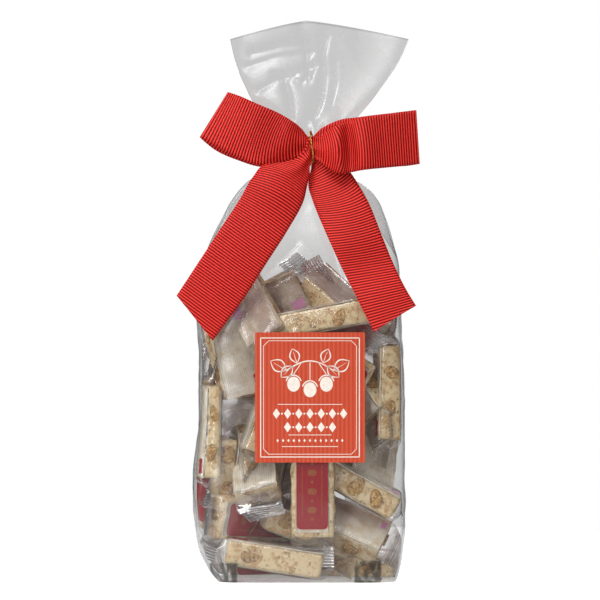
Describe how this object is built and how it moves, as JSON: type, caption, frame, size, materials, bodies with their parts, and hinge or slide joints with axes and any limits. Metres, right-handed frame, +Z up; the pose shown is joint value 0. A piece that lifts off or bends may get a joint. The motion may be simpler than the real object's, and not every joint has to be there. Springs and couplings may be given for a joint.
{
  "type": "gift bag of wrapped nougat",
  "caption": "Clear film gift bag of individually wrapped hazelnut nougat, standing on a flat base, with a red grosgrain bow, gold wire tie and paper label",
  "frame": {"origin": "centre of the footprint of the whole, on the surface that the bag stands on", "axes": "+Z up through the neck, the label and bow face -Y, +X is to the viewer's right"},
  "size_m": [0.1126, 0.0549, 0.2614],
  "materials": {
    "film": "thin clear crackling film, glossy, lightly creased",
    "label_card": "orange-red card with fine lighter stripes, satin",
    "ribbon_cloth": "bright red grosgrain with raised ribs across its width",
    "gold_wire": "thin polished gold-coloured wire",
    "nougat": "matte cream nougat with cut hazelnuts",
    "wrapper_print": "glossy red and magenta print on clear wrapper film"
  },
  "bodies": {
    "root": {"bag": "film", "label": "label_card", "ribbon": "ribbon_cloth", "wire_tie": "gold_wire"}
  },
  "joints": []
}
